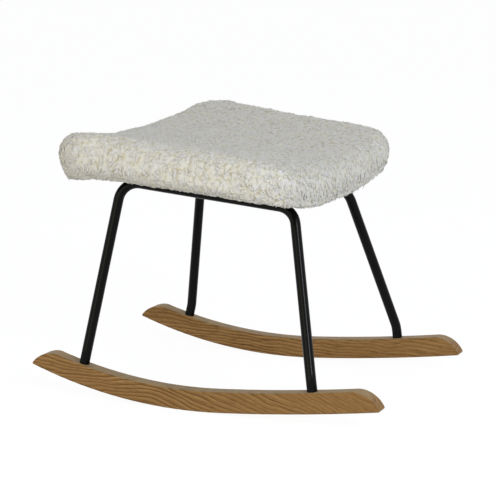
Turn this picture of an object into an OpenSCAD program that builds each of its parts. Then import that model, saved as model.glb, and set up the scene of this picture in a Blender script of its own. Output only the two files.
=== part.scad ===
// Rocking footstool: two solid wooden rockers, two bent-tube side frames joined by
// two steel rails, and a wide dished seat with a deep curly pile cover.
// Every piece is drawn as the stool stands at rest, x along the rockers towards the low end
// of the seat, y across it and z up, with the resting point of the rockers at x = 0, z = 0.

/* [Rockers] */
// Radius of the arc that the rockers roll on, from the high tip to past the resting point
rocker_r = 807; // [700:1:1000]
// Radius of the flatter arc that carries on to the low tip
runout_r = 3200; // [1600:10:4500]
// Length along a rocker from its resting point to where the flatter arc begins
runout_start = 66; // [40:1:100]
// Length along a rocker from its resting point to the high tip
high_reach = 270; // [250:1:290]
// Length along a rocker from its resting point to the low tip
low_reach = 327; // [300:1:350]
// Depth of a rocker from its top face to the floor
rocker_depth = 33; // [30:0.5:42]
// Thickness of a rocker across the stool
rocker_t = 25; // [22:0.5:34]
// Distance between the middle planes of the two rockers
rocker_gauge = 375; // [340:1:440]
// Rounding along the long edges of a rocker
rocker_edge_r = 2.5; // [1:0.25:5]
// Radius of the round nose that runs from the top face down to each tip
nose_r = 45; // [38:1:60]
// Radius of the blunted tip
tip_r = 3; // [2:0.25:5]

/* [Side frames] */
// Outer diameter of the bent tube
tube_d = 16; // [14:0.5:19]
// Wall of the tube
tube_wall = 1.5; // [1:0.1:2.5]
// Centre-line radius of the two upper bends
top_bend_r = 32; // [26:1:38]
// Centre-line radius of the small bends above the rockers
foot_bend_r = 40; // [25:1:60]
// Straight stub between the rocker's top face and the lower bend
stub_len = 19; // [16:1:28]
// Length along the rocker from its resting point to the high-end leg
high_foot = 185; // [170:1:200]
// Length along the rocker from its resting point to the low-end leg
low_foot = 219; // [200:1:235]
// Distance of the high upper corner from the resting point
high_top_x = 127.5; // [115:0.5:138]
// Height of the high upper corner above the floor
high_top_z = 342; // [322:0.5:370]
// Half of the distance between the side frames at the high corner
high_top_y = 144; // [130:1:155]
// Distance of the low upper corner from the resting point
low_top_x = 149.5; // [140:0.5:164]
// Height of the low upper corner above the floor
low_top_z = 311.5; // [297:0.5:335]
// Half of the distance between the side frames at the low corner
low_top_y = 110; // [100:1:125]

/* [Seat] */
// Length of the seat along the rockers, over the pile
seat_len = 392; // [370:1:400]
// Width of the seat at its high end, over the pile
seat_w_high = 552; // [520:1:580]
// Width of the seat at its low end, over the pile
seat_w_low = 498; // [470:1:530]
// Offset of the middle of the seat from the resting point, towards the high end
seat_offset = 8.5; // [2:0.5:15]
// Radius of the seat's corners in plan
seat_corner_r = 68; // [60:1:90]
// Radius that the plywood shell is bent to
shell_r = 1180; // [950:5:1600]
// Thickness of the plywood shell
shell_t = 12; // [9:0.5:15]
// Thickness of the foam over the shell
foam_t = 42; // [30:1:55]
// Thickness of the pile cover
cover_t = 6.5; // [4:0.5:9]
// How far the rounded side of the seat reaches inwards
side_roll = 28; // [22:1:34]
// Rise of the padding in the middle of the seat
crown = 4; // [0:0.5:10]
// Width of the cover's flange that is fixed under the shell
flange_w = 18; // [14:1:19]
// Thickness of the cover's flange, where it has no pile
flange_t = 1; // [0.6:0.1:1.4]
// Thickness of the liner under the shell
liner_t = 0.8; // [0.5:0.1:1.2]

/* [Rails] */
// Width of a cross rail
rail_w = 30; // [24:1:36]
// Thickness of a cross rail
rail_t = 4; // [3:0.5:6]
// Distance of the high-end rail from the middle of the seat
high_rail_x = 62; // [50:1:70]
// Distance of the low-end rail from the middle of the seat
low_rail_x = 100; // [80:1:110]
// Distance of each seat bolt from the stool's middle plane
bolt_y = 70; // [55:1:85]

/* [Fasteners] */
// Thread diameter of the seat bolts
seat_bolt_d = 6; // [5:1:6]
// Length of a seat bolt under its head
seat_bolt_len = 16; // [14:1:17]
// Thread diameter of the rocker screws
rocker_screw_d = 8; // [6:1:8]
// Length of a rocker screw under its head
rocker_screw_len = 30; // [25:1:32]
// Depth of the socket that a leg stands in
socket_depth = 10; // [8:0.5:12]
// Depth of the counterbore under a rocker
counterbore_depth = 12; // [10.5:0.5:13]
// Length of the threaded plug in the end of a leg
plug_len = 20; // [16:1:24]

/* [Hidden] */
$fn = 64;

// Clearances between neighbours, and the overrun of every cut
fit_gap = 0.2;
thread_gap = 0.05;
socket_gap = 0.15;
weld_gap = 0.1;
soft_gap = 0.3;
over = 5;

// Thinning of the part that runs on from another, and the lap of the other over its end
run_draw = 0.02;
run_lap = 0.05;

// Rocker curve, whose flatter arc runs on without a kink from the arc that rolls
turn_per_mm = 180 / PI / rocker_r;
runout_angle = runout_start * turn_per_mm;
roll_centre = [0, rocker_r];
runout_centre = roll_centre + (runout_r - rocker_r) * [-sin(runout_angle), cos(runout_angle)];
lap_turn = run_lap * turn_per_mm;

// Each end of a rocker: the centre and radius of its arc, the angle of its round tip, its side
high_end = [roll_centre, rocker_r, (high_reach - tip_r) * turn_per_mm, -1];
low_end = [runout_centre, runout_r, runner_angle(low_reach - tip_r), 1];
tip_proud = tip_r / 10;
nose_proud = nose_r / 240;
tip_steps = 6;
nose_steps = 12;
middle_x = (tip_x(high_end) + tip_x(low_end)) / 2;

// Side frames
tube_r = tube_d / 2;
high_top = [-high_top_x, high_top_y, high_top_z];
low_top = [low_top_x, low_top_y, low_top_z];
leg_path = [
    over_runner(-high_foot, rocker_depth - socket_depth),
    over_runner(-high_foot, rocker_depth + stub_len),
    high_top,
    low_top,
    over_runner(low_foot, rocker_depth + stub_len),
    over_runner(low_foot, rocker_depth - socket_depth)
];
bend_radii = [0, foot_bend_r, top_bend_r, top_bend_r, foot_bend_r, 0];

// Seat, whose underside rests on both side frames along its whole length
seat_stack = liner_t + 2 * fit_gap;
bar_pitch = atan2(high_top.z - low_top.z, low_top.x - high_top.x);
seat_high = under_seat(-seat_offset - high_rail_x);
seat_low = under_seat(-seat_offset + low_rail_x);
seat_pitch = atan2(seat_high.y - seat_low.y, seat_low.x - seat_high.x);
seat_x = -seat_offset;
seat_z = seat_high.y - (seat_x - seat_high.x) * tan(seat_pitch);

// Seat plan, a trapezium with round corners
half_len = seat_len / 2;
taper = (seat_w_low - seat_w_high) / 2 / seat_len;
side_slant = norm([1, taper]);
side_dir = atan2(1, -taper);
corner_x = half_len - seat_corner_r;
corner_turns = [[1, 1, 0, side_dir], [-1, 1, side_dir, 180], [-1, -1, 180, 360 - side_dir],
    [1, -1, 360 - side_dir, 360]];
corner_steps = 6;
end_steps = 12;
side_steps = 3;
inner_shares = [0.36, 0.7];

// Seat section, measured up from the shell's underside
pad_top = shell_t + foam_t + cover_t;
pad_mid = (pad_top - cover_t) / 2;
pad_half = (pad_top + cover_t) / 2;
roll_step = 30;
roll_angles = [for (a = [90 : -roll_step : -90]) a];
shell_inset = side_roll + 2;
flange_inset = shell_inset + flange_w;
flange_start = side_roll + cover_t - flange_t;
liner_inset = flange_inset + soft_gap;

// Seat hardware
rail_xs = [-high_rail_x, low_rail_x];
rail_nib = 3;
bolt_hole_d = seat_bolt_d + 0.6 * seat_bolt_d / 6;
head_w = seat_bolt_d * 10 / 6;
head_t = seat_bolt_d * 4 / 6;
washer_d = 2 * seat_bolt_d;
washer_t = 0.27 * seat_bolt_d;
nut_flange_d = 3 * seat_bolt_d;
nut_flange_t = 1.4;
nut_barrel_d = seat_bolt_d * 1.3;
nut_len = 9;

// Rocker hardware
cap_d = 1.625 * rocker_screw_d;
cap_t = rocker_screw_d;
hex_w = 0.866 * rocker_screw_d;
hex_depth = rocker_screw_d / 2;
rocker_washer_d = 2 * rocker_screw_d;
rocker_washer_t = 0.2 * rocker_screw_d;
counterbore_d = rocker_washer_d + 1;
shank_hole_d = rocker_screw_d + 1;

// Turn of a rocker's curve at a length s from its resting point
function runner_angle(s) = s < runout_start ? s * turn_per_mm :
    runout_angle + (s - runout_start) / runout_r * 180 / PI;

// Point in the side view at an angle from straight down and a distance from an arc's centre
function on_arc(centre, a, r) = centre + r * [sin(a), -cos(a)];

// Point in a rocker's side view at a length s from its resting point and a height above its curve
function side_point(s, height) = s < runout_start ?
    on_arc(roll_centre, runner_angle(s), rocker_r - height) :
    on_arc(runout_centre, runner_angle(s), runout_r - height);

function over_runner(s, height) = let (p = side_point(s, height)) [p.x, rocker_gauge / 2, p.y];

// Centres of the tip and of the nose at an end; the tip's round runs on into the nose's, and
// each stands a little proud of the face that it runs into
function tip_centre(end) = on_arc(end[0], end[3] * end[2], end[1] - tip_r + tip_proud);
function nose_angle(end) = let (
        tip = end[1] - tip_r + tip_proud,
        nose = end[1] - rocker_depth + nose_r - nose_proud)
    end[2] - acos((tip * tip + nose * nose - pow(nose_r - tip_r, 2)) / (2 * tip * nose));
function nose_centre(end) =
    on_arc(end[0], end[3] * nose_angle(end), end[1] - rocker_depth + nose_r - nose_proud);
function tip_x(end) = tip_centre(end).x + end[3] * tip_r;

function unit(v) = v / norm(v);

// Turn of the tube, and the axis it turns about, at corner i of a path
function bend_angle(path, i) = acos(unit(path[i] - path[i - 1]) * unit(path[i + 1] - path[i]));
function bend_axis(path, i) = unit(cross(path[i] - path[i - 1], path[i + 1] - path[i]));

// Length of straight tube that the bend at corner i takes up on each side of it
function bend_run(path, i, r) = r == 0 ? 0 : r * tan(bend_angle(path, i) / 2);

// Turn of the tube about its own axis between the bends at the two ends of run i
function bend_turn(path, i) = i == 0 ? 0 :
    let (from = bend_axis(path, i), to = bend_axis(path, i + 1))
    atan2(cross(from, to) * unit(path[i + 1] - path[i]), from * to);

// Half of the distance between the side frames at a place along the stool
function bar_y(x) = high_top.y + (low_top.y - high_top.y) * (x - high_top.x) / (low_top.x - high_top.x);

// Level line of the shell's underside over the side frames, as x and z
function under_seat(x) = [x,
    high_top.z - (x - high_top.x) * tan(bar_pitch)
    + (sqrt(pow(shell_r + seat_stack + tube_r, 2) - pow(bar_y(x), 2)) - shell_r) / cos(bar_pitch)];

// Height in the seat's frame of the surface that lies a thickness d above the shell's underside
function shell_z(y, d) = shell_r - sqrt(pow(shell_r - d, 2) - y * y);

// Points spread evenly from a to b, without b
function between(a, b, steps) = [for (i = [0 : steps - 1]) a + (b - a) * i / steps];

// Middle of a corner's round, in plan
function corner_centre(t) = [t.x * corner_x,
    t.y * ((seat_w_high + seat_w_low) / 4 + taper * t.x * corner_x - seat_corner_r * side_slant)];

function corner_arc(t, inset, steps) = [for (i = [0 : steps])
    let (a = t[2] + (t[3] - t[2]) * i / steps)
    corner_centre(t) + (seat_corner_r - inset) * [cos(a), sin(a)]];

// Outline of the seat drawn in by an inset, with the straight sides cut into steps
function plan_ring(inset) = let (c = [for (t = corner_turns) corner_arc(t, inset, corner_steps)])
    concat(c[0], tail(between(c[0][corner_steps], c[1][0], side_steps)),
        c[1], tail(between(c[1][corner_steps], c[2][0], end_steps)),
        c[2], tail(between(c[2][corner_steps], c[3][0], side_steps)),
        c[3], tail(between(c[3][corner_steps], c[0][0], end_steps)));

function tail(list) = [for (i = [1 : 1 : len(list) - 1]) list[i]];

// Ring of points on the seat at an inset and a thickness d, drawn in to a share of its size
function seat_ring(inset, d, share = 1) = [for (p = share * plan_ring(inset)) [p.x, p.y, shell_z(p.y, d)]];

// Rings up or over a surface at thickness d, which rises by the crown towards the middle
function crowned_rings(inset, d, rise, shares) =
    [for (s = shares) seat_ring(inset, d + rise * (1 - s * s), s)];

function reversed(list) = [for (i = [len(list) - 1 : -1 : 0]) list[i]];

// Rings round the rolled side of the padding, shrunk by a skin all round
function roll_rings(skin) = [for (a = roll_angles)
    seat_ring(skin + (side_roll - skin) * (1 - cos(a)), pad_mid + (pad_half - skin) * sin(a))];

// Closed skin over a list of rings, with a pole before the first and after the last
module ring_skin(rings, first_pole, last_pole) {
    count = len(rings[0]);
    last = len(rings) * count + 1;
    points = concat([first_pole], [for (ring = rings) each ring], [last_pole]);
    faces = concat(
        [for (j = [0 : count - 1]) [0, 1 + (j + 1) % count, 1 + j]],
        [for (k = [0 : len(rings) - 2], j = [0 : count - 1])
            let (a = 1 + k * count, b = a + count, n = (j + 1) % count)
            each [[a + j, a + n, b + n], [a + j, b + n, b + j]]],
        [for (j = [0 : count - 1])
            let (a = 1 + (len(rings) - 1) * count) [last, a + j, a + (j + 1) % count]]);
    polyhedron(points = points, faces = faces, convexity = 6);
}

// The stool moved so that the middle of its length lies over the origin
module centred() {
    translate([-middle_x, 0, 0])
        children();
}

// The two places where a leg stands on one rocker, with z up the leg
module at_rocker_feet(y) {
    for (s = [-high_foot, low_foot])
        translate([side_point(s, rocker_depth).x, y, side_point(s, rocker_depth).y])
            rotate([0, -runner_angle(s), 0])
                children();
}

// The four places where a leg stands on a rocker
module at_feet() {
    for (y = [-1, 1] * rocker_gauge / 2)
        at_rocker_feet(y)
            children();
}

// The seat's own frame, with its origin under the middle of the shell
module at_seat() {
    translate([seat_x, 0, seat_z])
        rotate([0, seat_pitch, 0])
            children();
}

// Place on the shell's underside, with z square to the shell
module on_shell(x, y) {
    translate([x, 0, shell_r])
        rotate([asin(y / shell_r), 0, 0])
            translate([0, 0, -shell_r])
                children();
}

// The four places of the seat bolts
module at_bolts() {
    for (x = rail_xs, y = [-bolt_y, bolt_y])
        on_shell(x, y)
            children();
}

// Frame at a point with z along dir and x along a side that is square to it
module along(point, dir, side) {
    up = cross(dir, side);
    multmatrix([
        [side.x, up.x, dir.x, point.x],
        [side.y, up.y, dir.y, point.y],
        [side.z, up.z, dir.z, point.z],
        [0, 0, 0, 1]
    ])
        children();
}

// Ring section of the tube, with its wall drawn thinner by a skin on both faces
module tube_section(skin) {
    difference() {
        circle(r = tube_r - skin);
        circle(r = tube_r - tube_wall + skin);
    }
}

// Tube fed on from run i of a path as a tube bender makes it: a straight run, a turn about its
// own axis and a bend towards x, then the rest of the tube in the frame where that bend ends.
// The straight runs lap a little over the bends, where the wall is drawn thinner
module tube_from(path, radii, i) {
    straight = norm(path[i + 1] - path[i]) - bend_run(path, i, radii[i]) - bend_run(path, i + 1, radii[i + 1]);
    start_lap = i == 0 ? 0 : run_lap;
    end_lap = i == len(path) - 2 ? 0 : run_lap;
    translate([0, 0, -start_lap])
        linear_extrude(height = start_lap + straight + end_lap)
            tube_section(0);
    if (i < len(path) - 2)
        translate([0, 0, straight])
            rotate([0, 0, bend_turn(path, i)])
                translate([radii[i + 1], 0, 0]) {
                    rotate([90, 0, 180])
                        rotate_extrude(angle = bend_angle(path, i + 1))
                            translate([radii[i + 1], 0])
                                tube_section(run_draw);
                    rotate([0, bend_angle(path, i + 1), 0])
                        translate([-radii[i + 1], 0, 0])
                            tube_from(path, radii, i + 1);
                }
}

// Tube along a path of straight runs, with a bend at each corner between its ends
module tube_run(path, radii) {
    dir = unit(path[1] - path[0]);
    along(path[0], dir, cross(bend_axis(path, 1), dir))
        tube_from(path, radii, 0);
}

// Section of a rocker between two distances from an arc's centre, with its edges rounded
module rocker_section(near, far, skin) {
    r = rocker_edge_r;
    half_t = rocker_t / 2 - skin;
    translate([near, r - half_t])
        square([far - near, 2 * (half_t - r)]);
    translate([near + r, -half_t])
        square([far - near - 2 * r, 2 * half_t]);
    for (x = [near + r, far - r], y = [-1, 1] * (half_t - r))
        translate([x, y])
            circle(r = r, $fn = 24);
}

// Section swept in the side view about a centre, between two angles from straight down
module swept(centre, from, to) {
    translate([centre.x, 0, centre.y])
        rotate([90, 0, 0])
            rotate([0, 0, from - 90])
                rotate_extrude(angle = to - from, $fn = 360)
                    children();
}

// Points of the side view round one end, from below the floor, round the tip and the nose and
// on to above the top face
function end_points(end) =
    let (
        tip = tip_centre(end),
        nose = nose_centre(end),
        side = end[3],
        top = 90 + nose_angle(end),
        join = atan2(tip.y - nose.y, side * (tip.x - nose.x)),
        from = end[2] - 90
    )
    concat(
        [[tip.x, -rocker_depth]],
        [for (i = [0 : tip_steps])
            let (a = from + (join - from) * i / tip_steps)
            tip + tip_r * [side * cos(a), sin(a)]],
        [for (i = [1 : nose_steps])
            let (a = join + (top - join) * i / nose_steps)
            nose + nose_r * [side * cos(a), sin(a)]],
        [on_arc(end[0], side * nose_angle(end), end[1] - 2 * rocker_depth)]);

// One rocker: a strip along its two arcs, cut to its tips and noses and bored for two legs
module rocker(y) {
    spare = 2 * tip_r * turn_per_mm;
    difference() {
        translate([0, y, 0])
            intersection() {
                union() {
                    swept(roll_centre, -high_end[2] - spare, runout_angle + lap_turn)
                        rocker_section(rocker_r - rocker_depth, rocker_r, 0);
                    swept(runout_centre, runout_angle, low_end[2] + spare)
                        rocker_section(runout_r - rocker_depth + run_draw, runout_r - run_draw, run_draw);
                }
                rotate([90, 0, 0])
                    linear_extrude(height = rocker_t + 2 * over, center = true)
                        polygon(concat(end_points(high_end), reversed(end_points(low_end))));
            }
        at_rocker_feet(y) {
            translate([0, 0, -socket_depth])
                cylinder(h = socket_depth + over, r = tube_r + socket_gap);
            translate([0, 0, -rocker_depth - over])
                cylinder(h = rocker_depth, d = shank_hole_d);
            translate([0, 0, -rocker_depth - over])
                cylinder(h = counterbore_depth + over, d = counterbore_d);
        }
    }
}

module rocker_left() {
    color("peru")
        centred()
            rocker(-rocker_gauge / 2);
}

module rocker_right() {
    color("peru")
        centred()
            rocker(rocker_gauge / 2);
}

// One side frame: a leg, the bar under the seat and the other leg, bent from one tube
module frame_right() {
    color("dimgray")
        centred()
            tube_run(leg_path, bend_radii);
}

module frame_left() {
    color("dimgray")
        centred()
            mirror([0, 1, 0])
                tube_run(leg_path, bend_radii);
}

// Part of a ring round the shell's axis, centred on the middle of the seat
module shell_band(low_d, high_d, width, half_angle) {
    translate([0, 0, shell_r])
        rotate([0, 90, 0])
            rotate([0, 0, -half_angle])
                rotate_extrude(angle = 2 * half_angle, $fn = 360)
                    translate([shell_r - high_d, -width / 2])
                        square([high_d - low_d, width]);
}

// Room that the two side frames' bars take, for the saddle cuts at the rails' ends
module bar_room() {
    dir = unit(low_top - high_top);
    for (m = [0, 1])
        mirror([0, m, 0])
            along(high_top, dir, unit(cross(dir, [0, 1, 0])))
                cylinder(h = norm(low_top - high_top), r = tube_r + weld_gap);
}

// One cross rail: a flat strip rolled to the shell's radius, saddled onto both bars
module rail(x) {
    reach = asin((bar_y(seat_x + x) - rail_nib) / shell_r);
    difference() {
        at_seat()
            difference() {
                translate([x, 0, 0])
                    shell_band(-seat_stack - rail_t, -seat_stack, rail_w, reach);
                for (y = [-bolt_y, bolt_y])
                    on_shell(x, y)
                        translate([0, 0, -seat_stack - rail_t - over])
                            cylinder(h = rail_t + 2 * over, d = bolt_hole_d);
            }
        bar_room();
    }
}

module rail_high() {
    color("slategray")
        centred()
            rail(-high_rail_x);
}

module rail_low() {
    color("slategray")
        centred()
            rail(low_rail_x);
}

// Threaded plugs pressed into the ends of the legs
module leg_plugs() {
    color("silver")
        centred()
            at_feet()
                translate([0, 0, -socket_depth])
                    difference() {
                        cylinder(h = plug_len, r = tube_r - tube_wall - thread_gap);
                        translate([0, 0, -over])
                            cylinder(h = plug_len + 2 * over, d = rocker_screw_d + 2 * thread_gap);
                    }
}

// Washers at the bottom of the counterbores
module rocker_washers() {
    color("silver")
        centred()
            at_feet()
                translate([0, 0, counterbore_depth - rocker_depth - rocker_washer_t])
                    difference() {
                        cylinder(h = rocker_washer_t, d = rocker_washer_d);
                        translate([0, 0, -over])
                            cylinder(h = rocker_washer_t + 2 * over, d = rocker_screw_d + 4 * thread_gap);
                    }
}

// Socket-head screws that pull the rockers up against the legs
module rocker_screws() {
    color("silver")
        centred()
            at_feet()
                translate([0, 0, counterbore_depth - rocker_depth - rocker_washer_t - cap_t])
                    difference() {
                        union() {
                            cylinder(h = cap_t, d = cap_d);
                            cylinder(h = cap_t + rocker_screw_len, d = rocker_screw_d);
                        }
                        translate([0, 0, -over])
                            cylinder(h = hex_depth + over, d = hex_w, $fn = 6);
                    }
}

// Plywood shell of the seat, bent across the stool, with counterbores for the tee nuts
module seat_shell() {
    color("burlywood")
        centred()
            at_seat()
                difference() {
                    intersection() {
                        shell_band(0, shell_t, seat_len, asin(seat_w_high / 2 / (shell_r - shell_t)));
                        translate([0, 0, -over])
                            linear_extrude(height = seat_w_high / 4)
                                polygon(plan_ring(shell_inset));
                    }
                    at_bolts() {
                        translate([0, 0, -over])
                            cylinder(h = shell_t + 2 * over, d = nut_barrel_d + 2 * fit_gap);
                        translate([0, 0, shell_t - nut_flange_t - fit_gap])
                            cylinder(h = over, d = nut_flange_d + 2 * fit_gap);
                    }
                }
}

// Tee nuts let into the top of the shell
module tee_nuts() {
    color("silver")
        centred()
            at_seat()
                at_bolts()
                    translate([0, 0, shell_t - fit_gap])
                        difference() {
                            union() {
                                translate([0, 0, -nut_flange_t])
                                    cylinder(h = nut_flange_t, d = nut_flange_d);
                                translate([0, 0, -nut_len])
                                    cylinder(h = nut_len, d = nut_barrel_d);
                            }
                            translate([0, 0, -nut_len - over])
                                cylinder(h = nut_len + 2 * over, d = seat_bolt_d + 2 * thread_gap);
                        }
}

// Washers between the seat bolts' heads and the rails
module seat_washers() {
    color("silver")
        centred()
            at_seat()
                at_bolts()
                    translate([0, 0, -seat_stack - rail_t - washer_t])
                        difference() {
                            cylinder(h = washer_t, d = washer_d);
                            translate([0, 0, -over])
                                cylinder(h = washer_t + 2 * over, d = seat_bolt_d + 4 * thread_gap);
                        }
}

// Hexagon bolts that hold the seat to the rails
module seat_bolts() {
    color("silver")
        centred()
            at_seat()
                at_bolts()
                    translate([0, 0, -seat_stack - rail_t - washer_t - head_t]) {
                        cylinder(h = head_t, d = head_w / cos(30), $fn = 6);
                        cylinder(h = head_t + seat_bolt_len, d = seat_bolt_d);
                    }
}

// Foam pad, domed a little over the shell and rolled down round its edge
module foam_pad() {
    skin = cover_t + soft_gap;
    top_d = pad_top - skin;
    floor_d = shell_t + soft_gap;
    color("khaki")
        centred()
            at_seat()
                ring_skin(
                    concat(
                        crowned_rings(side_roll, top_d, crown, inner_shares),
                        roll_rings(skin),
                        [seat_ring(shell_inset - soft_gap, soft_gap), seat_ring(shell_inset - soft_gap, floor_d)],
                        [for (s = reversed(inner_shares)) seat_ring(side_roll, floor_d, s)]),
                    [0, 0, top_d + crown],
                    [0, 0, floor_d]);
}

// Pile cover, drawn over the foam and turned in under the shell, where it has no pile
module seat_cover() {
    inner_top = pad_top - cover_t;
    inner_roll = roll_rings(cover_t);
    color("ivory")
        centred()
            at_seat()
                ring_skin(
                    concat(
                        crowned_rings(side_roll, pad_top, crown, inner_shares),
                        roll_rings(0),
                        [seat_ring(flange_start, -flange_t - fit_gap / 2),
                            seat_ring(flange_inset, -flange_t - fit_gap / 2),
                            seat_ring(flange_inset, -fit_gap / 2)],
                        [for (i = [len(inner_roll) - 1 : -1 : 0])
                            i == len(inner_roll) - 1 ? seat_ring(side_roll, -fit_gap / 2) : inner_roll[i]],
                        reversed(crowned_rings(side_roll, inner_top, crown, inner_shares))),
                    [0, 0, pad_top + crown],
                    [0, 0, inner_top + crown]);
}

// Thin liner that closes the underside of the shell inside the cover's flange
module seat_liner() {
    color("black")
        centred()
            at_seat()
                difference() {
                    intersection() {
                        shell_band(-fit_gap - liner_t, -fit_gap, seat_len, asin(seat_w_high / 2 / shell_r));
                        translate([0, 0, -over])
                            linear_extrude(height = seat_w_high / 4)
                                polygon(plan_ring(liner_inset));
                    }
                    at_bolts()
                        translate([0, 0, -over])
                            cylinder(h = 2 * over, d = bolt_hole_d);
                }
}

rocker_left();
rocker_right();
frame_left();
frame_right();
rail_high();
rail_low();
leg_plugs();
rocker_screws();
rocker_washers();
seat_shell();
tee_nuts();
seat_bolts();
seat_washers();
foam_pad();
seat_cover();
seat_liner();
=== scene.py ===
"""A rocking footstool with wooden rockers, black bent-tube legs and a dished curly-pile seat.

Each section makes one piece of the stool, in the order in which the stool is put together.
Lengths are metres, +X runs along the rockers towards the low end of the seat, +Z is up.
"""

import bpy
import numpy as np
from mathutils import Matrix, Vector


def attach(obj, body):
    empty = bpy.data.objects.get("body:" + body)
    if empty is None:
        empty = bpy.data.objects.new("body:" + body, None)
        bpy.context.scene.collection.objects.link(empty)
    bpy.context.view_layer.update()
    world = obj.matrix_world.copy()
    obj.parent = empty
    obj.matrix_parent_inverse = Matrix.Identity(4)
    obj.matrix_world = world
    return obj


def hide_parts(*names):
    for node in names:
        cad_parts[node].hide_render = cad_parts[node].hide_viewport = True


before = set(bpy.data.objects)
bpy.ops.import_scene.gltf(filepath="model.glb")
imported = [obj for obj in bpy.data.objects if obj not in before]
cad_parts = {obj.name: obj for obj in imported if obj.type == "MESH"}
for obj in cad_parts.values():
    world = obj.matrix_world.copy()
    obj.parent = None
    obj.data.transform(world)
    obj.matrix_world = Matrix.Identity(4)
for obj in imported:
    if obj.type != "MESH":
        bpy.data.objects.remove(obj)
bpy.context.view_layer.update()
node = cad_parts


# Rockers
# Two strips of solid oak, sawn from a straight board to two arcs that run on without a kink,
# rounded at each nose, eased along their edges and finished with a thin satin oil.

GRAIN_START = -0.2
GRAIN_FALL = 0.20
SWAY_HEIGHT = 0.046
SWAY_SIDE = 0.022
RING_DRIFT = 0.02
RING_FADE = -1.8
RING_SHARE = 0.55
RING_SHARE_LEAST = 0.20
RING_SHARE_MOST = 0.50
STREAK_SHARE = 0.72
TONE_BASE = 0.17
wood_light = (0.418, 0.240, 0.088, 1)
wood_middle = (0.280, 0.143, 0.043, 1)
wood_dark = (0.105, 0.043, 0.009, 1)
wood_painted_sheen = (0.400, 0.285, 0.150, 1)
pore_dark = (0.085, 0.036, 0.009, 1)


def shader(name):
    """A new material with its tree, and its surface shader."""
    made = bpy.data.materials.new(name)
    made.use_nodes = True
    return made, made.node_tree, made.node_tree.nodes["Principled BSDF"]


def add(tree, kind, inputs=None, **settings):
    """A shader node; each input takes a constant, or the output of another node."""
    made = tree.nodes.new("ShaderNode" + kind)
    for key, value in settings.items():
        setattr(made, key, value)
    for key, value in (inputs or {}).items():
        if isinstance(value, bpy.types.NodeSocket):
            tree.links.new(value, made.inputs[key])
        else:
            made.inputs[key].default_value = value
    return made


def result(tree, operation, first, second=0.0, third=0.0):
    """The result of a Math node on up to three values."""
    return add(tree, "Math", {0: first, 1: second, 2: third}, operation=operation).outputs[0]


def ramp(tree, value, *stops):
    """A colour ramp through (position, colour) stops."""
    made = add(tree, "ValToRGB", {"Fac": value})
    band = made.color_ramp.elements
    while len(band) < len(stops):
        band.new(0.5)
    for stop, (position, colour) in zip(band, stops):
        stop.position = position
        stop.color = colour
    return made.outputs["Color"]


def blend_colours(tree, share, first, second, mode="MIX"):
    """Two colours mixed by a share."""
    made = add(tree, "Mix", data_type="RGBA", blend_type=mode)
    for key, value in (("Factor", share), ("A", first), ("B", second)):
        sockets = [s for s in made.inputs if s.name == key and s.type in ("RGBA", "VALUE")]
        socket = sockets[0] if key == "Factor" else [s for s in sockets if s.type == "RGBA"][0]
        if isinstance(value, bpy.types.NodeSocket):
            tree.links.new(value, socket)
        else:
            socket.default_value = value
    return [s for s in made.outputs if s.type == "RGBA"][0]


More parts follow.
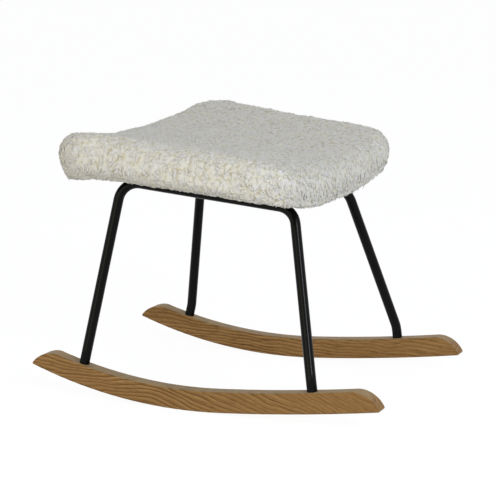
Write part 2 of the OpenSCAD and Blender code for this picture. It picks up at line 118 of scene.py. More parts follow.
def oak():
    """Satin oak: the grain runs level at the high end and falls away in a parabola towards the
    low end, further in the -Y rocker's board than in the other, with a slow sway, so that the
    sawn arcs cut across its growth rings. The rings fade out towards the low end, and the
    faces that look up are painted paler and greyer, a painted sheen for the light they catch from above."""
    made, tree, surface = shader("oiled_oak")
    place = add(tree, "TexCoord").outputs["Object"]
    stool = add(tree, "SeparateXYZ", {0: place}).outputs
    along = result(tree, "SUBTRACT", stool["X"], GRAIN_START)
    curve = result(tree, "SUBTRACT", GRAIN_FALL, stool["Y"])
    fall = result(tree, "MULTIPLY", result(tree, "MULTIPLY", along, along), curve)
    board = add(tree, "CombineXYZ", {"X": stool["X"], "Y": stool["Y"],
                                     "Z": result(tree, "ADD", stool["Z"], fall)}).outputs[0]
    axes = add(tree, "SeparateXYZ", {0: board}).outputs

    def along_grain(scale, detail, roughness=0.5):
        stretched = add(tree, "Mapping", {"Vector": board, "Scale": scale}).outputs[0]
        return add(tree, "TexNoise", {"Vector": stretched, "Scale": 1.0, "Detail": detail,
                                      "Roughness": roughness}).outputs["Fac"]

    sway = along_grain((7, 9, 14), 2.0)
    ring_height = result(tree, "MULTIPLY_ADD", sway, SWAY_HEIGHT, axes["Z"])
    ring_side = result(tree, "MULTIPLY_ADD", sway, SWAY_SIDE, axes["Y"])
    rings = add(tree, "CombineXYZ", {"X": result(tree, "MULTIPLY", axes["X"], RING_DRIFT),
                                     "Y": ring_side, "Z": ring_height}).outputs[0]
    bands = add(tree, "TexWave", {"Vector": rings, "Scale": 50.0, "Distortion": 2.6, "Detail": 3.0,
                                  "Detail Scale": 1.6, "Detail Roughness": 0.6},
                wave_type="BANDS", bands_direction="Z", wave_profile="SAW").outputs["Fac"]
    streaks = along_grain((12, 300, 300), 5.0, 0.65)
    pores = along_grain((60, 1500, 1500), 2.0)
    flecks = along_grain((6, 30, 30), 3.0)

    fade = result(tree, "MULTIPLY_ADD", stool["X"], RING_FADE, RING_SHARE)
    fade = result(tree, "MAXIMUM", result(tree, "MINIMUM", fade, RING_SHARE_MOST), RING_SHARE_LEAST)
    tone = result(tree, "MULTIPLY_ADD", result(tree, "SUBTRACT", bands, 0.5), fade,
                  result(tree, "MULTIPLY_ADD", streaks, STREAK_SHARE, TONE_BASE))
    wood = ramp(tree, tone, (0.24, wood_dark), (0.50, wood_middle), (0.78, wood_light))
    plain = ramp(tree, flecks, (0.40, (0, 0, 0, 1)), (0.80, (0.8, 0.8, 0.8, 1)))
    wood = blend_colours(tree, plain, wood, wood_middle)
    pore_share = ramp(tree, pores, (0.30, (1, 1, 1, 1)), (0.43, (0, 0, 0, 1)))
    wood = blend_colours(tree, pore_share, wood, pore_dark)
    upward = add(tree, "SeparateXYZ", {0: add(tree, "TexCoord").outputs["Normal"]}).outputs["Z"]
    # Faces that look up are blended towards a paler, greyer colour: a painted sheen for the light falling
    # on the tops.
    painted_sheen_share = ramp(tree, upward, (0.75, (0, 0, 0, 1)), (0.95, (0.65, 0.65, 0.65, 1)))
    wood = blend_colours(tree, painted_sheen_share, wood, wood_painted_sheen)
    tree.links.new(wood, surface.inputs["Base Color"])
    polish = ramp(tree, streaks, (0.2, (0.60, 0.60, 0.60, 1)), (0.8, (0.45, 0.45, 0.45, 1)))
    tree.links.new(polish, surface.inputs["Roughness"])
    relief = result(tree, "MULTIPLY_ADD", pores, 0.6, result(tree, "MULTIPLY", streaks, 0.4))
    bump = add(tree, "Bump", {"Strength": 0.35, "Distance": 0.0004, "Height": relief})
    tree.links.new(bump.outputs[0], surface.inputs["Normal"])
    surface.inputs["Specular IOR Level"].default_value = 0.2
    return made


def dress(name, finish):
    """Gives a carried-over piece its finish."""
    piece = node[name]
    piece.data.materials.clear()
    piece.data.materials.append(finish)


oiled_oak = oak()
for side in ("left", "right"):
    dress("rocker_" + side, oiled_oak)


# Side frames and cross rails
# Each side is one steel tube bent four times, and two flat rails rolled to the seat's curve
# are welded between the sides. All of it is powder coated satin black after welding.

coat_black = (0.0012, 0.0012, 0.0012, 1)


def powder_coat():
    """Satin black powder coat: fine orange peel, a little dust dulling the gloss in patches."""
    made, tree, surface = shader("black_powder_coat")
    place = add(tree, "TexCoord").outputs["Object"]
    peel = add(tree, "TexNoise", {"Vector": place, "Scale": 900.0, "Detail": 3.0}).outputs["Fac"]
    cloud = add(tree, "TexNoise", {"Vector": place, "Scale": 22.0, "Detail": 4.0}).outputs["Fac"]
    tree.links.new(ramp(tree, cloud, (0.3, coat_black), (0.75, (0.0025, 0.0024, 0.0023, 1))),
                   surface.inputs["Base Color"])
    tree.links.new(ramp(tree, cloud, (0.3, (0.17, 0.17, 0.17, 1)), (0.7, (0.23, 0.23, 0.23, 1))),
                   surface.inputs["Roughness"])
    bump = add(tree, "Bump", {"Strength": 0.08, "Distance": 0.0002, "Height": peel})
    tree.links.new(bump.outputs[0], surface.inputs["Normal"])
    surface.inputs["Specular IOR Level"].default_value = 0.10
    return made


black_powder_coat = powder_coat()
for name in ("frame_left", "frame_right", "rail_high", "rail_low"):
    dress(name, black_powder_coat)


# Plugs, screws, bolts, nuts and washers
# Zinc-plated steel: turned plugs pressed into the legs, screws up through the rockers, and
# bolts through the rails into tee nuts in the seat.


def zinc_plate():
    """Bright zinc over turned steel, with a duller bloom in patches."""
    made, tree, surface = shader("zinc_plate")
    place = add(tree, "TexCoord").outputs["Object"]
    bloom = add(tree, "TexNoise", {"Vector": place, "Scale": 320.0, "Detail": 4.0}).outputs["Fac"]
    tree.links.new(ramp(tree, bloom, (0.3, (0.50, 0.50, 0.49, 1)), (0.7, (0.66, 0.66, 0.65, 1))),
                   surface.inputs["Base Color"])
    tree.links.new(ramp(tree, bloom, (0.3, (0.42, 0.42, 0.42, 1)), (0.7, (0.26, 0.26, 0.26, 1))),
                   surface.inputs["Roughness"])
    surface.inputs["Metallic"].default_value = 1.0
    return made


zinc = zinc_plate()
for name in ("leg_plugs", "rocker_screws", "rocker_washers", "tee_nuts", "seat_bolts", "seat_washers"):
    dress(name, zinc)


# Seat shell
# Seven birch plies glued up in a press, with a bend across the stool. The shell lies on the
# bars of the two side frames and is bolted to the cross rails.

SEAT_TILT = np.radians(5.531)
SEAT_ORIGIN = np.array([-0.03861, 0.0, 0.33101])
SHELL_RADIUS = 1.180
PLY_THICKNESS = 0.012
PLY_COUNT = 7


def plywood():
    """Birch plies seen at the edge as light and dark bands, which follow the shell's tilt and
    its curve as a parabola, with birch fibres over them."""
    made, tree, surface = shader("birch_plywood")
    place = add(tree, "TexCoord").outputs["Object"]
    fibre = add(tree, "TexNoise", {
        "Vector": add(tree, "Mapping", {"Vector": place, "Scale": (300, 12, 300)}).outputs[0],
        "Scale": 1.0, "Detail": 4.0}).outputs["Fac"]
    axes = add(tree, "SeparateXYZ", {0: place}).outputs
    rise = result(tree, "MULTIPLY_ADD", axes["X"], float(np.tan(SEAT_TILT)), axes["Z"])
    dip = result(tree, "MULTIPLY", result(tree, "MULTIPLY", axes["Y"], axes["Y"]), 0.5 / SHELL_RADIUS)
    layer = result(tree, "MULTIPLY", result(tree, "SUBTRACT", rise, dip), PLY_COUNT / PLY_THICKNESS / 2)
    stripe = result(tree, "GREATER_THAN", result(tree, "FRACT", layer), 0.5)
    plies = blend_colours(tree, stripe, (0.56, 0.42, 0.26, 1), (0.40, 0.27, 0.15, 1))
    wood = blend_colours(tree, 0.35, plies, ramp(tree, fibre, (0.3, (0.42, 0.29, 0.16, 1)),
                                                 (0.7, (0.62, 0.48, 0.31, 1))))
    tree.links.new(wood, surface.inputs["Base Color"])
    surface.inputs["Roughness"].default_value = 0.6
    return made


dress("seat_shell", plywood())


# Foam pad
# One slab of cut polyurethane foam, glued to the top of the shell and rolled down over its
# edge. It has settled a little at the corners of the high end.

SEAT_LENGTH = 0.392
SEAT_WIDTH_HIGH = 0.552
SEAT_WIDTH_LOW = 0.498
SEAT_CORNER = 0.068
FOAM_THICKNESS = 0.042
PILE_DEPTH = 0.0065
SIDE_ROLL = 0.028
SEAT_CROWN = 0.004
LIP_WIDTH = 0.010
FOAM_EASE = 0.0012
GLUE_GAP = 0.0005
OUTLINE_STEPS = 360
FOAM_STEPS = 180
CORNER_STEPS = 40
TOP_RINGS = 40
ROLL_RINGS = 24
LIP_RINGS = 10
CORNER_SAG = 0.0065
SAG_LENGTH = 0.080
SAG_PLACES = (-0.15, -0.02, 0.10, 0.20)
SAG_SHARES = (1.0, -0.3, -0.3, 0.5)
DRAWN_IN = 0.30
LOWER_SAG = 1.4
EDGE_PLACES = (-0.196, -0.130, -0.050, 0.040, 0.090, 0.196)
EDGE_HANG = (0.0095, 0.0095, 0.0040, 0.0033, 0.0005, 0.0005)
LOW_END_HANG = 0.0050
LOW_END_START = 0.150
LOW_END_RAMP = 0.030
LOW_END_SIDE = 0.190
LOW_END_SIDE_RAMP = 0.060


def seat_to_stool(points):
    """Points of the seat's own frame turned by its tilt about Y and moved to its origin."""
    x, y, z = np.moveaxis(points, -1, 0)
    c, s = np.cos(SEAT_TILT), np.sin(SEAT_TILT)
    return np.stack([c * x + s * z, y, c * z - s * x], -1) + SEAT_ORIGIN


def plan_outline(inset, steps):
    """Round-cornered trapezium, drawn in by an inset: points walk round the four corner arcs
    and the straight sides between them, evenly spaced along the outline."""
    taper = (SEAT_WIDTH_LOW - SEAT_WIDTH_HIGH) / 2 / SEAT_LENGTH
    slant = np.hypot(1, taper)
    side = np.arctan2(1, -taper)
    far = SEAT_LENGTH / 2 - SEAT_CORNER
    half = (SEAT_WIDTH_HIGH + SEAT_WIDTH_LOW) / 4
    turns = ((1, 1, 0, side), (-1, 1, side, np.pi), (-1, -1, np.pi, 2 * np.pi - side),
             (1, -1, 2 * np.pi - side, 2 * np.pi))
    points = []
    for sx, sy, start, end in turns:
        centre = np.array([sx * far, sy * (half + taper * sx * far - SEAT_CORNER * slant)])
        turn = np.linspace(start, end, CORNER_STEPS)[:, None]
        points.append(centre + (SEAT_CORNER - inset) * np.hstack([np.cos(turn), np.sin(turn)]))
    points = np.vstack(points + [points[0][:1]])
    length = np.concatenate([[0], np.cumsum(np.linalg.norm(np.diff(points, axis=0), axis=1))])
    even = np.linspace(0, length[-1], steps, endpoint=False)
    return np.stack([np.interp(even, length, points[:, k]) for k in (0, 1)], -1)


def over_shell(plan, depth):
    """Lifts plan points onto the arc that lies a depth above the shell's underside."""
    depth = np.broadcast_to(depth, plan.shape[:-1])
    lift = SHELL_RADIUS - np.sqrt((SHELL_RADIUS - depth) ** 2 - plan[..., 1] ** 2)
    return np.concatenate([plan, lift[..., None]], -1)


def corner_sag(plan):
    """How far the padding has settled: a straight ramp over the last part of the length at the
    high end, read off across the width. The middle of that end stands a little prouder."""
    along = np.clip(1 - (plan[..., 0] + SEAT_LENGTH / 2) / SAG_LENGTH, 0, 1)
    return CORNER_SAG * along * np.interp(plan[..., 1], SAG_PLACES, SAG_SHARES)


def edge_hang(plan):
    """How far the pile hangs below the shell: read off along the seat, and more by two
    straight ramps in the middle of the low end."""
    along = np.clip((plan[..., 0] - LOW_END_START) / LOW_END_RAMP, 0, 1)
    across = np.clip((LOW_END_SIDE - np.abs(plan[..., 1])) / LOW_END_SIDE_RAMP, 0, 1)
    return np.interp(plan[..., 0], EDGE_PLACES, EDGE_HANG) + LOW_END_HANG * (along * across)


def padding_surface(skin, floor, stretch=1.0, hangs=False, steps=OUTLINE_STEPS):
    """Closed padding: rings grow from a middle point over the crowned top, round the rolled
    side by a half ellipse, and shrink over the floor, to which a hanging edge rises by a
    cosine. The sag lowers the padding and draws it in, and a stretch lengthens it."""
    top = PLY_THICKNESS + FOAM_THICKNESS + PILE_DEPTH
    middle, half = (top - PILE_DEPTH) / 2, (top + PILE_DEPTH) / 2
    rings = []
    for share in np.linspace(0.02, 0.98, TOP_RINGS):
        plan = plan_outline(SIDE_ROLL, steps) * share
        sag = corner_sag(plan)
        rings.append(over_shell(plan + sag[:, None] * (DRAWN_IN, 0),
                                top - skin + SEAT_CROWN * (1 - share ** 2) - sag))
    for angle in np.radians(np.linspace(90, -90, ROLL_RINGS)):
        plan = plan_outline(skin + (SIDE_ROLL - skin) * (1 - np.cos(angle)), steps)
        sag = corner_sag(plan)
        hang = hangs * (edge_hang(plan) + LOWER_SAG * sag)
        reach = half - skin if angle > 0 else np.maximum(half - skin, middle - floor + hang)
        depth = middle + reach * np.sin(angle) - sag * (angle > 0)
        rings.append(over_shell(plan + sag[:, None] * (DRAWN_IN, 0), np.maximum(depth, floor - hang)))
    for part in np.linspace(0.1, 1, LIP_RINGS):
        plan = plan_outline(SIDE_ROLL + LIP_WIDTH * part, steps)
        hang = hangs * (edge_hang(plan) + LOWER_SAG * corner_sag(plan))
        rings.append(over_shell(plan, floor - hang * (1 + np.cos(np.pi * part)) / 2))
    for share in np.linspace(0.97, 0.02, TOP_RINGS):
        rings.append(over_shell(plan_outline(SIDE_ROLL + LIP_WIDTH, steps) * share, floor))
    return np.stack(rings) * (stretch, 1, 1)


def ring_faces(rows, columns):
    """Quads between neighbouring rings."""
    r, c = np.meshgrid(np.arange(rows - 1), np.arange(columns), indexing="ij")
    n = (c + 1) % columns
    corners = [r * columns + c, (r + 1) * columns + c, (r + 1) * columns + n, r * columns + n]
    return np.stack(corners, -1).reshape(-1, 4)


def closed_piece(name, rings):
    """Mesh piece from rings of points, with its first and last rings closed by fans."""
    rows, columns = rings.shape[:2]
    points = rings.reshape(-1, 3)
    ends = np.stack([rings[0].mean(0), rings[-1].mean(0)])
    first, last = len(points), len(points) + 1
    c = np.arange(columns)
    n = (c + 1) % columns
    fans = [np.stack([np.full(columns, first), c, n], -1),
            np.stack([np.full(columns, last), (rows - 1) * columns + n, (rows - 1) * columns + c], -1)]
    mesh = bpy.data.meshes.new(name)
    mesh.from_pydata(np.vstack([points, ends]).tolist(), [],
                     ring_faces(rows, columns).tolist() + fans[0].tolist() + fans[1].tolist())
    piece = bpy.data.objects.new(name, mesh)
    bpy.context.scene.collection.objects.link(piece)
    return piece


def foam():
    """Cut foam: cream with a fine open cell, each cell painted darker at its middle as painted shade in
    its hollow.
    """
    made, tree, surface = shader("cut_foam")
    place = add(tree, "TexCoord").outputs["Object"]
    cells = add(tree, "TexVoronoi", {"Vector": place, "Scale": 900.0}).outputs["Distance"]
    # The middle of each cell is painted darker: painted shade in the cell's hollow.
    tree.links.new(ramp(tree, cells, (0.0, (0.50, 0.43, 0.27, 1)), (0.6, (0.80, 0.73, 0.52, 1))),
                   surface.inputs["Base Color"])
    bump = add(tree, "Bump", {"Strength": 0.5, "Distance": 0.0006, "Height": cells})
    tree.links.new(bump.outputs[0], surface.inputs["Normal"])
    surface.inputs["Roughness"].default_value = 0.9
    return made


def smooth(piece):
    """Shades a piece smoothly."""
    piece.data.polygons.foreach_set("use_smooth", np.ones(len(piece.data.polygons), bool))
    piece.data.update()


foam_slab = closed_piece("foam_slab", seat_to_stool(padding_surface(
    PILE_DEPTH + FOAM_EASE, PLY_THICKNESS + GLUE_GAP, steps=FOAM_STEPS)))
smooth(foam_slab)
foam_slab.data.materials.append(foam())
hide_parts("foam_pad")
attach(foam_slab, "root")


# Pile cover
# Knitted cream teddy cloth with a curly pile, drawn over the foam and stapled under the shell.
# The swell comes from a cloth simulation, and locks of wool stand on the swollen cloth.

TUFT_CELL = 0.0062
TUFT_HEIGHT = 0.0012
TUFT_SHIFT = 0.0020
TUFT_SHIFT_CELL = 0.011
LUMPS = ((0.026, 0.0008, 21), (0.07, 0.0012, 22))
COVER_SKIN = 0.0034
COVER_STRETCH = 1.020
BACKING_GAP = 0.0001
CLOTH_CELL = 0.005
CLOTH_PRESSURE = 4.0
CLOTH_FRAMES = 20
HELD_FACING = -0.75
SWELL_LIMIT = 0.0030
PILE_EDGE = 0.034
PILE_EDGE_RAMP = 0.004
LOCK_CELL_SIDE = 0.0080
LOCK_CELL_TOP = 0.0102
LOCK_RINGS = 5
LOCK_SIDES = 4
LOCK_FLATNESS = 0.35
LOCK_LENGTH = (0.0068, 0.0110)
LOCK_RISE = (0.0004, 0.0012)
LOCK_SWING = (0.0010, 0.0028)
LOCK_RADIUS = (0.0018, 0.0028)
LOCK_START = (0, 6.28)
LOCK_CURL = 5.2
LOCK_ROOT_DEPTH = 0.0004
TOP_FACING = 0.80


def mesh_arrays(piece):
    """A mesh's points and point normals."""
    count = len(piece.data.vertices)
    points, normals = np.empty(count * 3), np.empty(count * 3)
    piece.data.vertices.foreach_get("co", points)
    piece.data.vertices.foreach_get("normal", normals)
    return points.reshape(-1, 3), normals.reshape(-1, 3)


def apply_modifiers(piece):
    """Bakes a piece's modifiers into its mesh."""
    graph = bpy.context.evaluated_depsgraph_get()
    made = bpy.data.meshes.new_from_object(piece.evaluated_get(graph))
    old = piece.data
    piece.modifiers.clear()
    piece.data = made
    bpy.data.meshes.remove(old)


def swollen(piece):
    """The cover filled by its foam: an even mesh of small cells, blown up gently as cloth, with
    no point moving past the swell limit and none under the shell moving at all."""
    grid = piece.modifiers.new("grid", "REMESH")
    grid.mode = "VOXEL"
    grid.voxel_size = CLOTH_CELL
    apply_modifiers(piece)
    rest, normals = mesh_arrays(piece)
    held = piece.vertex_groups.new(name="held")
    held.add(np.flatnonzero(normals[:, 2] < HELD_FACING).tolist(), 1.0, "REPLACE")
    cloth = piece.modifiers.new("cloth", "CLOTH")
    cloth.settings.use_pressure = True
    cloth.settings.uniform_pressure_force = CLOTH_PRESSURE
    cloth.settings.effector_weights.gravity = 0.0
    cloth.settings.vertex_group_mass = "held"
    scene = bpy.context.scene
    for step in range(1, CLOTH_FRAMES + 1):
        scene.frame_set(step)
    apply_modifiers(piece)
    scene.frame_set(1)
    shift = mesh_arrays(piece)[0] - rest
    far = np.linalg.norm(shift, axis=1, keepdims=True)
    shift *= np.minimum(1, SWELL_LIMIT / np.maximum(far, 1e-9))
    piece.data.vertices.foreach_set("co", (rest + shift).ravel())
    piece.data.update()


def hashed(cells, salt):
    """A repeatable random number from 0 to 1 for each whole-number cell of a lattice: its three
    numbers times large odd ones, with the bits shifted and mixed."""
    mixed = cells.astype(np.int64) @ np.array([73856093, 19349663, 83492791]) + salt * 2654435761
    mixed = (mixed ^ (mixed >> 13)) * 1274126177 & 0xFFFFFFFF
    mixed = (mixed ^ (mixed >> 16)) * 2246822519 & 0xFFFFFFFF
    return ((mixed ^ (mixed >> 15)) & 0xFFFFFF) / float(0x1000000)


def drift_noise(points, scale, salt):
    """Smooth noise from -1 to 1: random values at lattice corners, eased between them."""
    spot = points / scale
    base = np.floor(spot)
    part = spot - base
    part = part * part * (3 - 2 * part)
    total = np.zeros(len(points))
    for corner in np.ndindex(2, 2, 2):
        weight = np.prod(np.where(np.array(corner) == 1, part, 1 - part), axis=1)
        total += weight * hashed(base + corner, salt)
    return total * 2 - 1


def tuft_height(points):
    """Height of the short pile: rounded lumps round the middles of a jittered lattice, each
    falling off as a dome, the tallest of the neighbours counting."""
    warp = np.stack([drift_noise(points, TUFT_SHIFT_CELL, salt) for salt in (11, 12, 13)], -1)
    spot = points + warp * TUFT_SHIFT
    base = np.floor(spot / TUFT_CELL)
    best = np.zeros(len(points))
    for step in np.ndindex(3, 3, 3):
        cell = base + np.array(step) - 1
        jitter = np.stack([hashed(cell, salt) for salt in (1, 2, 3)], -1)
        away = np.linalg.norm(spot - (cell + 0.1 + 0.8 * jitter) * TUFT_CELL, axis=1)
        size = TUFT_CELL * (0.55 + 0.35 * hashed(cell, 6))
        dome = np.sqrt(np.clip(1 - (away / size) ** 2, 0, 1))
        best = np.maximum(best, dome * (0.6 + 0.4 * hashed(cell, 7)))
    return best


def stool_to_seat(points):
    """The reverse of seat_to_stool."""
    x, y, z = np.moveaxis(points - SEAT_ORIGIN, -1, 0)
    c, s = np.cos(SEAT_TILT), np.sin(SEAT_TILT)
    return np.stack([c * x - s * z, y, s * x + c * z], -1)


def plan_inset(places):
    """How far points of the seat's frame lie inside the seat's outline: the distance to a
    trapezium shrunk by the corner's radius, less that radius."""
    taper = (SEAT_WIDTH_LOW - SEAT_WIDTH_HIGH) / 2 / SEAT_LENGTH
    x, y = places[:, 0], np.abs(places[:, 1])
    end = np.abs(x) - SEAT_LENGTH / 2 + SEAT_CORNER
    side = (y - (SEAT_WIDTH_HIGH + SEAT_WIDTH_LOW) / 4 - taper * x) / np.hypot(1, taper) + SEAT_CORNER
    away = np.hypot(np.maximum(end, 0), np.maximum(side, 0)) + np.minimum(np.maximum(end, side), 0)
    return SEAT_CORNER - away


cover = closed_piece("pile_cover", seat_to_stool(padding_surface(
    COVER_SKIN, -BACKING_GAP, stretch=COVER_STRETCH, hangs=True)))
swollen(cover)
levels = cover.modifiers.new("fine", "SUBSURF")
levels.levels = levels.render_levels = 2
apply_modifiers(cover)
cloth_points, cloth_normals = mesh_arrays(cover)
seat_up = np.array([np.sin(SEAT_TILT), 0, np.cos(SEAT_TILT)])
facing = cloth_normals @ seat_up
places = stool_to_seat(cloth_points)
inset = plan_inset(places)
bare = np.clip((inset - PILE_EDGE) / PILE_EDGE_RAMP, 0, 1) * (facing < 0)
lumps = sum(drift_noise(cloth_points, size, salt) * rise for size, rise, salt in LUMPS)
pile = tuft_height(cloth_points)
height = (pile * TUFT_HEIGHT + lumps) * (1 - bare)
cover_points = cloth_points + cloth_normals * height[:, None]
cover.data.vertices.foreach_set("co", cover_points.ravel())
cover.data.update()


def mark_pile(piece, depth, backing):
    """Keeps on each point how high in the pile it lies, and whether it is bare cloth."""
    for name, values in (("pile_height", depth), ("backing", backing)):
        layer = piece.data.attributes.new(name, "FLOAT", "POINT")
        layer.data.foreach_set("value", values.astype(np.float32))


mark_pile(cover, pile * (1 - bare), bare)
smooth(cover)


def spread(candidates, points, cell):
    """One of the candidates for each cell of a lattice that holds any."""
    cells = np.floor(points[candidates] / cell).astype(np.int64)
    _, first = np.unique(cells, axis=0, return_index=True)
    return candidates[first]


def unit_rows(vectors):
    """Vectors scaled to a length of one."""
    return vectors / np.maximum(np.linalg.norm(vectors, axis=-1, keepdims=True), 1e-9)


def wool_locks(name, roots, normals, seed):
    """Curly locks: each runs from its root along the cloth, down its side under its own weight
    or any way on the top. It rises from the cloth by a sine and swings from side to side by
    another, and its oval section swells and narrows to the tip by a power of a sine."""
    chance = np.random.default_rng(seed)
    count = len(roots)
    level = np.abs(normals @ seat_up)[:, None]
    loose = chance.normal(size=(count, 3))
    fall = unit_rows(np.array([0, 0, -1.0]) * (1.15 - level) + loose * (0.42 + 0.9 * level ** 3))
    fall = unit_rows(fall - np.sum(fall * normals, 1, keepdims=True) * normals)
    across = np.cross(normals, fall)
    part = np.linspace(0, 1, LOCK_RINGS)[None, :, None]
    length, rise, swing, thick, start = (
        (low + (high - low) * chance.random(count))[:, None, None]
        for low, high in (LOCK_LENGTH, LOCK_RISE, LOCK_SWING, LOCK_RADIUS, LOCK_START))
    flat = 1 - 0.45 * level[:, :, None]
    line = (roots[:, None] + fall[:, None] * length * (0.15 + 0.85 * flat) * part
            + normals[:, None] * flat * (rise * np.sin(np.pi * (0.06 + 0.80 * part)) - LOCK_ROOT_DEPTH)
            + across[:, None] * swing * np.sin(start + LOCK_CURL * part))
    radius = thick * np.sin(np.pi * (0.16 + 0.78 * part)) ** 0.7
    turn = np.linspace(0, 2 * np.pi, LOCK_SIDES, endpoint=False)[None, None, :, None]
    points = (line[:, :, None] + radius[:, :, None] * (
        np.cos(turn) * across[:, None, None] + LOCK_FLATNESS * np.sin(turn) * normals[:, None, None]))
    ring, side = np.meshgrid(np.arange(LOCK_RINGS - 1), np.arange(LOCK_SIDES), indexing="ij")
    onward = (side + 1) % LOCK_SIDES
    quads = np.stack([ring * LOCK_SIDES + side, (ring + 1) * LOCK_SIDES + side,
                      (ring + 1) * LOCK_SIDES + onward, ring * LOCK_SIDES + onward], -1).reshape(-1, 4)
    per_lock = LOCK_RINGS * LOCK_SIDES
    root_end = np.arange(LOCK_SIDES)
    tip_end = per_lock - 1 - root_end
    first = (np.arange(count) * per_lock)[:, None, None]
    mesh = bpy.data.meshes.new(name)
    mesh.from_pydata(points.reshape(-1, 3).tolist(), [],
                     (first + quads).reshape(-1, 4).tolist()
                     + (first[:, 0] + root_end).tolist() + (first[:, 0] + tip_end).tolist())
    piece = bpy.data.objects.new(name, mesh)
    bpy.context.scene.collection.objects.link(piece)
    # Roots are marked low in the pile, where the wool's colour paints its darker, tan shade.
    mark_pile(piece, np.broadcast_to(0.35 + 0.65 * part[..., None], points.shape[:3] + (1,)).reshape(-1),
              np.zeros(count * per_lock))
    smooth(piece)
    return piece


order = np.random.default_rng(5).permutation(len(cover_points))
hairy = order[bare[order] < 0.2]
top_part = facing[hairy] > TOP_FACING
rooted = np.concatenate([spread(hairy[~top_part], cover_points, LOCK_CELL_SIDE),
                         spread(hairy[top_part], cover_points, LOCK_CELL_TOP)])
locks = wool_locks("pile_locks", cover_points[rooted], cloth_normals[rooted], 8)


def curly_pile():
    """Cream wool: painted darker and tan deep between the locks as painted shade, near white at their
    tips, plain knit backing.
    """
    made, tree, surface = shader("curly_pile")
    place = add(tree, "TexCoord").outputs["Object"]
    depth = add(tree, "Attribute", attribute_name="pile_height").outputs["Fac"]
    back = add(tree, "Attribute", attribute_name="backing").outputs["Fac"]
    fleck = add(tree, "TexNoise", {"Vector": place, "Scale": 260.0, "Detail": 4.0}).outputs["Fac"]
    fibre = add(tree, "TexNoise", {"Vector": place, "Scale": 1400.0, "Detail": 2.0}).outputs["Fac"]
    cloud = add(tree, "TexNoise", {"Vector": place, "Scale": 95.0, "Detail": 2.0}).outputs["Fac"]
    # Colour follows height in the pile: low down it is painted darker and warmer, painted shade between
    # the locks.
    mixed = result(tree, "MULTIPLY_ADD", fleck, 0.75, result(tree, "SUBTRACT", depth, 0.40))
    wool = ramp(tree, mixed, (0.0, (0.60, 0.54, 0.42, 1)), (0.30, (0.70, 0.66, 0.57, 1)),
                (0.62, (0.755, 0.727, 0.675, 1)), (1.0, (0.79, 0.772, 0.75, 1)))
    cream = ramp(tree, cloud, (0.35, (1.0, 0.99, 0.93, 1)), (0.65, (0.97, 0.97, 1.0, 1)))
    wool = blend_colours(tree, 1.0, wool, cream, mode="MULTIPLY")
    knit = add(tree, "TexWave", {"Vector": place, "Scale": 260.0, "Distortion": 1.5}).outputs["Fac"]
    cloth = ramp(tree, knit, (0.2, (0.55, 0.50, 0.40, 1)), (0.8, (0.68, 0.64, 0.55, 1)))
    tree.links.new(blend_colours(tree, back, wool, cloth), surface.inputs["Base Color"])
    bump = add(tree, "Bump", {"Strength": 0.5, "Distance": 0.0006, "Height": fibre})
    tree.links.new(bump.outputs[0], surface.inputs["Normal"])
    surface.inputs["Roughness"].default_value = 0.95
    surface.inputs["Sheen Weight"].default_value = 0.15
    surface.inputs["Sheen Roughness"].default_value = 0.5
    surface.inputs["Specular IOR Level"].default_value = 0.1
    return made


wool_pile = curly_pile()
cover.data.materials.clear()
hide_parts("seat_cover")
for piece in (cover, locks):
    piece.data.materials.append(wool_pile)
    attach(piece, "root")


# Liner
# Black spun-bonded dust cloth, stapled under the shell. It closes the underside inside the
# turned-in edge of the pile cover.


def spun_cloth():
    """Black non-woven cloth: matted fibres and a grid of bonding dimples."""
    made, tree, surface = shader("spun_liner")
    place = add(tree, "TexCoord").outputs["Object"]
    fibres = add(tree, "TexNoise", {"Vector": place, "Scale": 1200.0, "Detail": 4.0}).outputs["Fac"]
    dimples = add(tree, "TexVoronoi", {"Vector": place, "Scale": 500.0,
                                       "Randomness": 0.0}).outputs["Distance"]
    tree.links.new(ramp(tree, fibres, (0.3, (0.012, 0.012, 0.013, 1)), (0.7, (0.035, 0.035, 0.036, 1))),
                   surface.inputs["Base Color"])
    bump = add(tree, "Bump", {"Strength": 0.5, "Distance": 0.0003, "Height": dimples})
    tree.links.new(bump.outputs[0], surface.inputs["Normal"])
    surface.inputs["Roughness"].default_value = 0.85
    return made


dress("seat_liner", spun_cloth())


# Floor, lights and camera
# A white floor that keeps the stool's shadow, three soft boxes in a pale room, and the
# photograph's viewpoint.

PHOTO_AZIMUTH = np.radians(24.448)
PHOTO_ELEVATION = np.radians(10.864)
PHOTO_ROLL = np.radians(-0.074)
PHOTO_DISTANCE = 2.8924
PHOTO_TARGET = np.array([-0.0074, 0.0, 0.2217])
PHOTO_LENS = 130.1
SENSOR_WIDTH = 36.0
STAGE_WHITE = 0.86
STAGE_GLOW = 1.088
FLOOR_REACH = 12.0


def sees_white(tree):
    """1 for rays that meet a white background: the camera's, and those off gloss or glass."""
    rays = add(tree, "LightPath").outputs
    return result(tree, "MAXIMUM", rays["Is Camera Ray"],
                  result(tree, "MAXIMUM", rays["Is Glossy Ray"], rays["Is Transmission Ray"]))


def white_stage():
    """A pale floor that the camera sees almost as pure white, so that the stool's shadow shows
    only as a light grey."""
    made, tree, surface = shader("white_stage")
    surface.inputs["Base Color"].default_value = (0.80, 0.80, 0.80, 1)
    surface.inputs["Roughness"].default_value = 1.0
    surface.inputs["Specular IOR Level"].default_value = 0.0
    glow = add(tree, "Emission", {"Color": (1, 1, 1, 1), "Strength": STAGE_GLOW})
    whitened = add(tree, "MixShader", {0: result(tree, "MULTIPLY", sees_white(tree), STAGE_WHITE),
                                       1: surface.outputs[0], 2: glow.outputs[0]})
    tree.links.new(whitened.outputs[0], tree.nodes["Material Output"].inputs["Surface"])
    return made


floor_mesh = bpy.data.meshes.new("floor")
floor_corners = [(x * FLOOR_REACH, y * FLOOR_REACH, 0) for x, y in ((-1, -1), (1, -1), (1, 1), (-1, 1))]
floor_mesh.from_pydata(floor_corners, [], [(0, 1, 2, 3)])
floor = bpy.data.objects.new("floor", floor_mesh)
bpy.context.scene.collection.objects.link(floor)
floor.data.materials.append(white_stage())

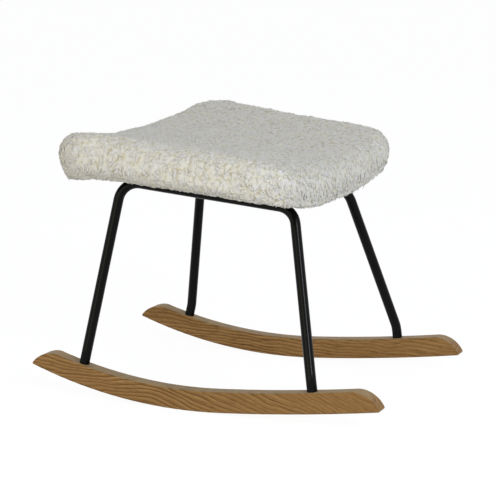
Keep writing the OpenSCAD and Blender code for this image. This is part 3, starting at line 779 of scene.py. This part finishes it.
world = bpy.data.worlds.new("studio")
bpy.context.scene.world = world
world.use_nodes = True
world_tree = world.node_tree
height = add(world_tree, "SeparateXYZ", {0: add(world_tree, "TexCoord").outputs["Generated"]}).outputs["Z"]
softbox = ramp(world_tree, height, (0.0, (0.72, 0.73, 0.74, 1)), (0.45, (0.65, 0.665, 0.69, 1)),
               (0.9, (0.235, 0.255, 0.305, 1)))
studio = blend_colours(world_tree, sees_white(world_tree), softbox, (1, 1, 1, 1))
world_tree.links.new(studio, world_tree.nodes["Background"].inputs["Color"])


def lamp(name, place, aim, width, height, power, colour):
    """A soft box at a place, turned to its aim."""
    light = bpy.data.lights.new(name, "AREA")
    light.shape = "RECTANGLE"
    light.size, light.size_y = width, height
    light.energy = power
    light.color = colour
    made = bpy.data.objects.new(name, light)
    bpy.context.scene.collection.objects.link(made)
    made.location = place
    direction = Vector(aim) - Vector(place)
    made.rotation_euler = direction.to_track_quat("-Z", "Y").to_euler()


lamp("key", (-0.5, -2.7, 0.6), (0, 0, 0.25), 1.8, 1.8, 17.5, (1.0, 0.93, 0.63))
lamp("side", (2.1, -1.35, 1.4), (0, 0, 0.2), 0.6, 0.9, 27, (0.88, 0.95, 1.0))
lamp("top", (0.2, 0.6, 2.6), (0, 0, 0.2), 1.6, 1.6, 1, (0.91, 0.96, 1.0))

camera = bpy.data.cameras.new("photo")
camera.sensor_width = SENSOR_WIDTH
camera.lens = PHOTO_LENS
eye = bpy.data.objects.new("photo", camera)
bpy.context.scene.collection.objects.link(eye)
c, s = np.cos(PHOTO_ELEVATION), np.sin(PHOTO_ELEVATION)
back = np.array([np.sin(PHOTO_AZIMUTH) * c, -np.cos(PHOTO_AZIMUTH) * c, s])
eye.location = PHOTO_TARGET + back * PHOTO_DISTANCE
level = Vector(-back).to_track_quat("-Z", "Y").to_matrix()
roll = Matrix.Rotation(-PHOTO_ROLL, 3, "Z")
eye.rotation_euler = (level @ roll).to_euler()
bpy.context.scene.camera = eye
bpy.context.scene.view_settings.view_transform = "Standard"
